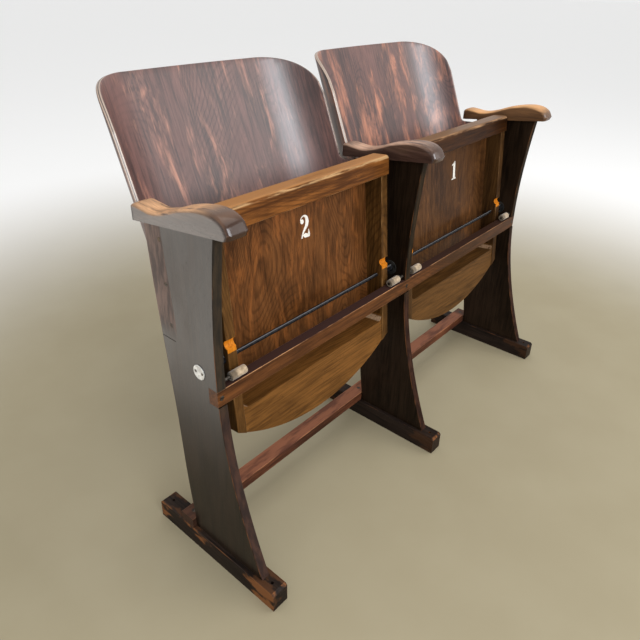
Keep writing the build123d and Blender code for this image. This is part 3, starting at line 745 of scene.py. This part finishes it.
felt = felt_finish("rolled_felt", base=(0.5, 0.38, 0.25), dirt=(0.29, 0.21, 0.13))
for bay, bay_x in bay_places.items():
    for end, side in (("left", -1), ("right", 1)):
        roll_x = bay_x + side * (bay_half - roll_start - roll_half)
        solid = bmesh.new()
        dark = solid.verts.layers.float.new("seam")
        columns = []
        for k in range(roll_sides):
            turn = 2 * pi * k / roll_sides
            outer = roll_radius * (roll_outer - roll_step * k / roll_sides)
            profile = []
            for j in range(roll_rings + 1):
                radius = roll_bore + (outer - roll_lip - roll_bore) * j / roll_rings
                phase = (radius - roll_bore) / (roll_radius - roll_bore) * roll_turns - k / roll_sides
                groove = exp(-(((phase + 0.5) % 1.0 - 0.5) / groove_width) ** 2)
                profile.append((radius, roll_half - roll_sink - groove_depth * groove, groove))
            profile.append((outer - roll_lip_round, roll_half - roll_lip, 0.0))
            profile += [(outer, share * (roll_half - roll_lip_end), 0.0) for share in roll_rows]
            profile += [(radius, -x, groove) for radius, x, groove in reversed(profile[:-1])]
            column = []
            for radius, x, groove in profile:
                made = solid.verts.new((roll_x + x, roll_y + radius * cos(turn), roll_z + radius * sin(turn)))
                # Besides the seams, the same share darkens the left end of each roll.
                made[dark] = max(groove, left_dark_strength * within((-x - left_dark_start) / left_dark_run))
                column.append(made)
            columns.append(column)
        for k in range(roll_sides):
            here, after = columns[k], columns[(k + 1) % roll_sides]
            for j in range(len(here) - 1):
                solid.faces.new((here[j], here[j + 1], after[j + 1], after[j]))
            solid.faces.new((here[-1], here[0], after[0], after[-1]))
        roll = mesh_piece(f"felt_wound_{bay}_{end}", solid, felt)
        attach(roll, "frame")
        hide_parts(f"felt_roll_{bay}_seat_{end}")

# Iron and steel small parts: pivot plates and roll pins on the panels, rods and spacer sleeves on the seats.
# Turned and cut from bar and sheet.
# Rods and sleeves are painted black with a thin painted highlight along the top; the rest is dull and dark.

highlight_facing = (0.0, -0.42, 0.91)
painted_highlight_steel = (0.8, 0.8, 0.82)
rod_shine = 0.1


def metal_finish(name, deep, mid, metallic, gloss, scratch):
    """Clouded metal or paint with a fine grit."""
    made = new_finish(name, {"Metallic": metallic})
    tree = made.node_tree
    cloud = cloud_noise(tree, scale=160.0, detail=6.0)
    lay(made, tint(tree, ramp(tree, cloud, 0.35, 0.7), deep, mid))
    lay(made, ramp(tree, cloud, 0.3, 0.7, gloss, gloss + 0.2), "Roughness")
    lay_bump(made, cloud_noise(tree, scale=1400.0, detail=2.0), strength=scratch, distance=0.0002)
    return made


black_steel = metal_finish("black_rod_paint", deep=(0.006, 0.006, 0.007), mid=(0.018, 0.018, 0.02),
                           metallic=0.0, gloss=0.09, scratch=0.0)
plate_steel = metal_finish("dull_plate_iron", deep=(0.008, 0.007, 0.006), mid=(0.03, 0.026, 0.022),
                           metallic=0.5, gloss=0.55, scratch=0.2)
screw_steel = metal_finish("screw_iron", deep=(0.02, 0.016, 0.013), mid=(0.09, 0.075, 0.06),
                           metallic=0.8, gloss=0.38, scratch=0.2)
# Painted highlight: a thin pale metallic band where the rods and sleeves face up and forward.
tree = black_steel.node_tree
normal = node(tree, "TexCoord").outputs["Normal"]
upward = node(tree, "VectorMath", {0: normal, 1: highlight_facing}, operation="DOT_PRODUCT").outputs["Value"]
bright = ramp(tree, upward, 0.965, 0.998, 0.0, 0.16)
lay(black_steel, tint(tree, bright, laid(black_steel), painted_highlight_steel))
lay(black_steel, bright, "Metallic")
socket_of(black_steel, "Specular IOR Level").default_value = rod_shine
for bay in bay_places:
    for end in ("left", "right"):
        finish_node(f"pivot_plate_{bay}_seat_{end}", plate_steel)
        finish_node(f"seat_{bay}_spacer_{end}", black_steel)
    finish_node(f"seat_{bay}_hinge_rod", black_steel)
finish_node("felt_roll_pins", screw_steel)

# Seats: a beech frame of a thick front rail, two side rails and a half-moon rear board, dowelled together.
# A thin plywood panel is nailed on behind. The wood is stained lighter than the panels, honey on seat 2.
# In front of each felt roll the side rail has a scooped notch down to bright raw wood.

# Raw notch: colour, lower and upper height, rear limit
raw_notch = ((0.68, 0.22, 0.014), 0.4495, 0.4745, 0.0)
# Stains of the pieces: deep, middle and worn tone
seat_stains = {
    "left": {
        "front_rail": ((0.065, 0.021, 0.0045), (0.25, 0.09, 0.019), (0.55, 0.33, 0.15)),
        "side_rail": ((0.04, 0.018, 0.005), (0.14, 0.062, 0.016), (0.32, 0.17, 0.06)),
        "rear_board": ((0.07, 0.029, 0.007), (0.2, 0.085, 0.02), (0.5, 0.33, 0.2)),
        "plywood_panel": ((0.05, 0.018, 0.005), (0.16, 0.06, 0.017), (0.3, 0.15, 0.06)),
    },
    "right": {
        "front_rail": ((0.014, 0.005, 0.0016), (0.056, 0.02, 0.0055), (0.36, 0.2, 0.1)),
        "side_rail": ((0.025, 0.011, 0.004), (0.09, 0.042, 0.013), (0.28, 0.15, 0.06)),
        "rear_board": ((0.05, 0.022, 0.006), (0.14, 0.064, 0.018), (0.42, 0.26, 0.15)),
        "plywood_panel": ((0.035, 0.014, 0.005), (0.11, 0.046, 0.015), (0.25, 0.13, 0.06)),
    },
}
seat_seeds = {"left": 40.0, "right": 50.0}
front_rail_tops = {"left": (0.34, 0.155, 0.052), "right": (0.17, 0.088, 0.04)}
front_rail_wear = {"left": 0.4, "right": 0.42}
panel_flames = {"left": (0.3, 0.1, 0.024), "right": (0.2, 0.078, 0.022)}
for bay, stains in seat_stains.items():
    seed = seat_seeds[bay]
    front_rail_wood = stained_wood(f"front_rail_wood_{bay}", "X", *stains["front_rail"], seed=seed + 1,
                                   gloss=0.36, wear_from=front_rail_wear[bay], upper=front_rail_tops[bay])
    side_rail_wood = stained_wood(f"side_rail_wood_{bay}", "Z", *stains["side_rail"], seed=seed + 2,
                                  raw=raw_notch)
    rear_board_wood = stained_wood(f"rear_board_wood_{bay}", "X", *stains["rear_board"], seed=seed + 3,
                                   wear_from=0.32, wear_gain=1.3)
    seat_veneer = stained_wood(f"seat_veneer_{bay}", "Z", *stains["plywood_panel"], seed=seed + 4, gloss=0.36,
                               lines=0.45, figure_across=4.5, figure_along=2.0, flame=panel_flames[bay])
    finish_node(f"seat_{bay}_front_rail", front_rail_wood)
    finish_node(f"seat_{bay}_side_rail_left", side_rail_wood)
    finish_node(f"seat_{bay}_side_rail_right", side_rail_wood)
    finish_node(f"seat_{bay}_rear_board", rear_board_wood)
    finish_node(f"seat_{bay}_plywood_panel", seat_veneer)

# Seat numerals: 2 and 1 in white oil paint, brushed through a stencil near the top of each plywood panel.
# The paint lies on the veneer with soft edges and has gone thin where knees touched it.
# Strokes are a middle line with half widths, in millimetres about the middle of the numeral.

seat_lean = radians(5.3)
seat_up = Vector((0, sin(seat_lean), cos(seat_lean)))
seat_front = Vector((0, -cos(seat_lean), sin(seat_lean)))
hinge = Vector((0, hinge_y, hinge_z))
ply_front = -0.0253
paint_height = 0.00018
thinnest_stroke = 0.1
stroke_parts = 6
paint_white = (0.84, 0.81, 0.74)
paint_thin = (0.42, 0.3, 0.2)
numerals = {
    "left": ("2", -0.246, 0.1545, [
        [(-11.8, 11.5, 0.1), (-10.8, 11.5, 2.6), (-9.2, 11.5, 4.0), (-7.2, 11.5, 4.6), (-5.2, 11.5, 4.0),
         (-3.6, 11.5, 2.6), (-2.6, 11.5, 0.1)],
        [(-11.0, 13.5, 1.0), (-10.2, 17.0, 1.0), (-7.5, 19.8, 1.0), (-3.5, 21.2, 1.2), (1.0, 20.6, 2.0),
         (4.8, 16.5, 3.3), (6.2, 9.5, 4.2), (4.6, 3.0, 4.0), (0.6, -2.4, 3.2), (-4.0, -7.4, 2.3),
         (-7.5, -12.6, 1.8), (-10.3, -20.0, 1.5)],
        [(-6.5, -14.6, 0.6), (-3.5, -15.6, 3.0), (0.0, -16.4, 4.2), (4.0, -17.3, 3.5), (8.0, -18.6, 2.6),
         (11.6, -20.2, 0.8)],
        [(9.0, -18.5, 3.0), (9.4, -12.0, 1.9), (9.2, -6.3, 0.4)]]),
    "right": ("1", 0.302, 0.145, [
        [(3.6, 22.6, 0.8), (2.6, 18.0, 3.2), (1.6, 12.0, 4.6), (1.4, 0.0, 4.6), (1.8, -12.0, 4.7),
         (2.6, -20.0, 5.4)],
        [(3.4, 20.6, 1.2), (-2.5, 16.0, 2.4), (-9.6, 13.4, 1.0)],
        [(-9.0, -21.4, 0.9), (-3.0, -20.4, 1.8), (4.0, -20.2, 2.1), (10.6, -21.0, 1.2)]]),
}
paint = new_finish("numeral_paint", {"Roughness": 0.6})
tree = paint.node_tree
thin = ramp(tree, cloud_noise(tree, scale=420.0, detail=4.0), 0.58, 0.72)
lay(paint, tint(tree, thin, paint_white, paint_thin))
for bay, (figure, middle_x, middle_w, strokes) in numerals.items():
    solid = bmesh.new()
    for stroke in strokes:
        line = smooth_run(stroke, stroke_parts)
        rows = []
        for k, spot in enumerate(line):
            run = (line[min(k + 1, len(line) - 1)] - line[max(k - 1, 0)]).to_2d().normalized()
            sideways = Vector((-run.y, run.x)) * max(spot.z, thinnest_stroke)
            row = []
            for reach, lift in ((1, 0), (1, 1), (-1, 1), (-1, 0)):
                flat = (spot.to_2d() + sideways * reach) / 1000
                place = hinge + seat_up * (middle_w + flat.y) + seat_front * (ply_front + lift * paint_height)
                row.append(solid.verts.new((middle_x + flat.x, place.y, place.z)))
            rows.append(row)
        for here, after in zip(rows, rows[1:]):
            for j in range(4):
                solid.faces.new((here[j], here[j - 1], after[j - 1], after[j]))
        solid.faces.new(rows[0])
        solid.faces.new(list(reversed(rows[-1])))
    numeral = mesh_piece(f"seat_{bay}_numeral_{figure}", solid, paint, smooth=False)
    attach(numeral, f"seat_{bay}")

# Dowels: plain beech pegs with fluted sides in the real bench, turned from raw stock.
# They are glued across the joints of panels, feet, armrests and seat frames, and hidden inside them.

peg_wood = stained_wood("peg_wood", "Z", deep=(0.3, 0.2, 0.11), mid=(0.55, 0.4, 0.24), worn=(0.6, 0.45, 0.28),
                        seed=61.0, gloss=0.6)
for name in ("foot_dowels", "armrest_dowels", "seat_left_corner_dowels", "seat_right_corner_dowels"):
    finish_node(name, peg_wood)

# Screws and nails: slotted wood screws of drawn iron, heads flush with the wood, dark with age.
# The six in the end panels' empty rebates are darkened brass. Round-headed nails hold the seat panels.
# Each screw is turned a little differently, as hands left it.

slot_half = 0.12
slot_parts = 14
slot_depth = 0.55
first_turn = 0.6
next_turn = 1.9
# Shares of the head's radius and height: the whole head's dome, and one half beside the slot
head_dome = [(0.0, 0.0), (0.6, 0.06), (0.96, 0.2), (1.0, 0.35)]
half_head = [(0.9, 0.0), (1.0, 0.12), (1.0, 0.7)]
stem_straight = 0.8
panel_xs = (-0.53, 0.0, 0.53)
row_half = 0.539
outer_rebate_depth = 0.0006
plate_thickness = 0.0025
disc_thickness = 0.0015
ply_thickness = 0.007
waist_y = -0.0383
stretcher_screw_z = 0.3975
lower_screw_y = 0.073
lower_bar_top = 0.064
wing_screws = ((0.074, 0.630), (0.067, 0.575), (0.060, 0.515))
rebate_screws = ((0.0726, 0.6406), (0.0682, 0.5672), (0.0656, 0.4938))
plate_screw_lift = 0.011
disc_screw_reach = 0.008
rail_nail_x = 0.215
rail_nails = (0.173, 0.071, -0.05325)
end_nail_x = 0.1125
end_nails = (0.231, -0.126)
both_sides = (-1, 1)


def turned_solid(solid, centre, out, profile, sides=24):
    """Turn a profile of radius and depth about an axis that points out of the surface."""
    across = out.orthogonal().normalized()
    sideways = out.cross(across)
    rows = []
    for radius, depth in profile:
        middle = centre - out * depth
        if radius == 0:
            rows.append([solid.verts.new(middle)] * sides)
            continue
        turns = [2 * pi * k / sides for k in range(sides)]
        ring = [middle + (across * cos(turn) + sideways * sin(turn)) * radius for turn in turns]
        rows.append([solid.verts.new(point) for point in ring])
    for upper, lower in zip(rows, rows[1:]):
        for k in range(sides):
            after = (k + 1) % sides
            corners = list(dict.fromkeys((upper[k], upper[after], lower[after], lower[k])))
            solid.faces.new(corners)


def screw_group(name, spots, head, head_tall, shank, length, finish=screw_steel, slotted=True, body="frame"):
    """Screws or nails of one size, standing for the solids of one node."""
    solid = bmesh.new()
    for number, (centre, out) in enumerate(spots):
        centre, out = Vector(centre), Vector(out)
        top = slot_depth * head_tall if slotted else 0.0
        dome = [(reach * head, top + fall * head_tall) for reach, fall in head_dome]
        stem = [(head, head_tall), (shank, head_tall), (shank, stem_straight * length), (0.0, length)]
        turned_solid(solid, centre, out, dome + stem)
        if not slotted:
            continue
        across = out.orthogonal().normalized()
        across.rotate(Matrix.Rotation(first_turn + next_turn * number, 3, out))
        along = out.cross(across)
        reach = acos(slot_half)
        for side in both_sides:
            loops = []
            for size, fall in half_head:
                loop = []
                for k in range(slot_parts + 1):
                    turn = reach * (2 * k / slot_parts - 1)
                    flat = across * side * max(cos(turn), slot_half) * size + along * sin(turn) * size
                    loop.append(solid.verts.new(centre + flat * head - out * (fall * head_tall)))
                loops.append(loop)
            for upper, lower in zip(loops, loops[1:]):
                for k in range(slot_parts + 1):
                    solid.faces.new((upper[k], upper[k - 1], lower[k - 1], lower[k]))
            solid.faces.new(loops[0])
            solid.faces.new(list(reversed(loops[-1])))
    group = mesh_piece(f"{name}_turned", solid, finish, smooth=False)
    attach(group, body)
    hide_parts(name)


screw_brass = metal_finish("screw_brass", deep=(0.012, 0.008, 0.005), mid=(0.075, 0.05, 0.028),
                           metallic=0.8, gloss=0.45, scratch=0.2)
bay_sides = [(bay_x, side) for bay_x in bay_places.values() for side in both_sides]
stretcher_spots = [((x, waist_y, stretcher_screw_z), (0, -1, 0)) for x in panel_xs]
lower_spots = [((x, lower_screw_y, lower_bar_top), (0, 0, 1)) for x in panel_xs]
wing_spots = [((bay_x + side * wing_x, y, z), (-side, 0, 0))
              for bay_x, side in bay_sides for y, z in wing_screws]
rebate_spots = [((side * (row_half - outer_rebate_depth), y, z), (side, 0, 0))
                for side in both_sides for y, z in rebate_screws]
plate_spots = [((bay_x + side * (bay_half - plate_thickness), hinge_y, hinge_z + lift), (-side, 0, 0))
               for bay_x, side in bay_sides for lift in (-plate_screw_lift, plate_screw_lift)]
disc_spots = [((side * (row_half + disc_thickness), hinge_y + along, hinge_z), (side, 0, 0))
              for side in both_sides for along in (-disc_screw_reach, disc_screw_reach)]
screw_group("stretcher_screws", stretcher_spots, head=0.0045, head_tall=0.0025, shank=0.0022, length=0.042)
screw_group("lower_stretcher_screws", lower_spots, head=0.0045, head_tall=0.0025, shank=0.0022, length=0.040)
screw_group("back_shell_screws", wing_spots, head=0.004, head_tall=0.002, shank=0.0018, length=0.0115)
screw_group("rebate_screws", rebate_spots, head=0.004, head_tall=0.0015, shank=0.0018, length=0.0035,
            finish=screw_brass)
screw_group("pivot_plate_screws", plate_spots, head=0.0032, head_tall=0.0012, shank=0.0016, length=0.0075)
screw_group("end_disc_screws", disc_spots, head=0.0024, head_tall=0.0008, shank=0.0013, length=0.0065)
nail_places = [(side * rail_nail_x, w) for side in both_sides for w in rail_nails]
nail_places += [(side * end_nail_x, w) for side in both_sides for w in end_nails]
rear_face = hinge + seat_front * (ply_front - ply_thickness)
for bay, bay_x in bay_places.items():
    nail_spots = []
    for across, w in nail_places:
        nail_spots.append((Vector((bay_x + across, 0, 0)) + rear_face + seat_up * w, -seat_front))
    screw_group(f"seat_{bay}_panel_nails", nail_spots, head=0.0026, head_tall=0.001, shank=0.0012,
                length=0.021, slotted=False, body=f"seat_{bay}")

# Cover discs: pressed from aluminium sheet, with a raised rim round a plain sunk field.
# Two small screws hold each over the hinge on the outer face of its end panel.

disc_metal = metal_finish("disc_aluminium", deep=(0.29, 0.29, 0.28), mid=(0.52, 0.52, 0.5),
                          metallic=0.35, gloss=0.42, scratch=0.2)
disc_profile = [(0.0, 0.0005), (0.0096, 0.0005), (0.0104, 0.00044), (0.0110, 0.0001), (0.0116, 0.0),
                (0.0130, 0.0), (0.0135, 0.0003), (0.0136, 0.0008), (0.0136, disc_thickness),
                (0.0, disc_thickness)]
for end, side in (("left", -1), ("right", 1)):
    solid = bmesh.new()
    centre = Vector((side * (row_half + disc_thickness), hinge_y, hinge_z))
    turned_solid(solid, centre, Vector((side, 0, 0)), disc_profile, sides=64)
    disc = mesh_piece(f"end_disc_pressed_{end}", solid, disc_metal)
    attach(disc, "frame")
    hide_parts(f"end_disc_{end}")

# Floor and light: a plain floor, sand-coloured under the bench and white further off, in pale surroundings.
# Three soft lamps light it from above and from both sides of the front.
# A card beside the left end and a broad window ahead show only as gloss on the varnish.

floor_reach = 40
sand = ((0.318, 0.274, 0.178), (0.336, 0.292, 0.193))
far_white = (0.97, 0.97, 0.965)
room_light = 0.84
floor_finish = new_finish("pale_floor", {"Roughness": 0.55, "Specular IOR Level": 0.15})
tree = floor_finish.node_tree
near = tint(tree, ramp(tree, cloud_noise(tree, scale=5.0, detail=8.0), 0.3, 0.7), *sand)
far = node(tree, "VectorMath", {0: where_on(tree)}, operation="LENGTH").outputs["Value"]
lay(floor_finish, tint(tree, ramp(tree, far, 0.9, 2.6), near, far_white))
floor_corners = [(x * floor_reach, y * floor_reach, 0) for x, y in ((-1, -1), (1, -1), (1, 1), (-1, 1))]
floor_mesh = bpy.data.meshes.new("floor")
floor_mesh.from_pydata(floor_corners, [], [(0, 1, 2, 3)])
floor_mesh.materials.append(floor_finish)
floor = put_in_scene("floor", floor_mesh)

world = bpy.data.worlds.new("pale_room")
world.use_nodes = True
world.node_tree.nodes["Background"].inputs["Color"].default_value = (1.0, 1.0, 1.0, 1.0)
world.node_tree.nodes["Background"].inputs["Strength"].default_value = room_light
bpy.context.scene.world = world


def soft_lamp(name, place, target, wide, tall, power, colour, lights_matt=True):
    """A large lamp that the camera doesn't see."""
    lamp = bpy.data.lights.new(name, "AREA")
    lamp.shape = "RECTANGLE"
    lamp.size = wide
    lamp.size_y = tall
    lamp.energy = power
    lamp.color = colour
    made = put_in_scene(name, lamp)
    made.location = place
    made.rotation_euler = (Vector(target) - Vector(place)).to_track_quat("-Z", "Y").to_euler()
    made.visible_camera = False
    made.visible_diffuse = lights_matt


soft_lamp("ceiling_softbox", place=(0.2, -0.3, 3.2), target=(0, 0, 0.3), wide=2.6, tall=2.2, power=26,
          colour=(1.0, 0.98, 0.95))
soft_lamp("window_softbox", place=(-1.15, -2.3, 1.75), target=(0, 0.1, 0.6), wide=1.1, tall=1.4, power=36,
          colour=(0.93, 0.96, 1.0))
soft_lamp("side_softbox", place=(1.9, -2.4, 2.1), target=(0, 0.2, 0.7), wide=2.0, tall=1.8, power=26,
          colour=(1.0, 0.98, 0.95))
soft_lamp("wall_card", place=(-0.78, 0.325, 0.39), target=(0.0, 0.325, 0.39), wide=0.56, tall=0.66, power=3.9,
          colour=(1.0, 0.94, 0.86), lights_matt=False)
soft_lamp("window_sheen", place=(-0.2, -2.4, 1.85), target=(0, 0.2, 0.75), wide=1.7, tall=1.4, power=85,
          colour=(0.9, 0.95, 1.0), lights_matt=False)
bpy.context.scene.view_settings.view_transform = "Standard"

# Camera: standing at the left front, a little above the backs, as in the photograph.
# Its place, turn, lens and shift were fitted to points of the bench there.

camera_place = (-1.00281, -0.63144, 0.98822)
yaw = 0.86291
pitch = -0.49442
tilt = 0.019021
look = Vector((sin(yaw) * cos(pitch), cos(yaw) * cos(pitch), sin(pitch)))
right = Vector((cos(yaw), -sin(yaw), 0))
above = right.cross(look)
turned_right = right * cos(tilt) + above * sin(tilt)
turned_above = above * cos(tilt) - right * sin(tilt)
camera_data = bpy.data.cameras.new("camera")
camera_data.lens = 33.191
camera_data.sensor_width = 36.0
camera_data.shift_x = 0.00866
camera_data.shift_y = -0.0387
camera = put_in_scene("camera", camera_data)
axes = Matrix((turned_right, turned_above, -look)).transposed().to_4x4()
camera.matrix_world = Matrix.Translation(camera_place) @ axes
bpy.context.scene.camera = camera
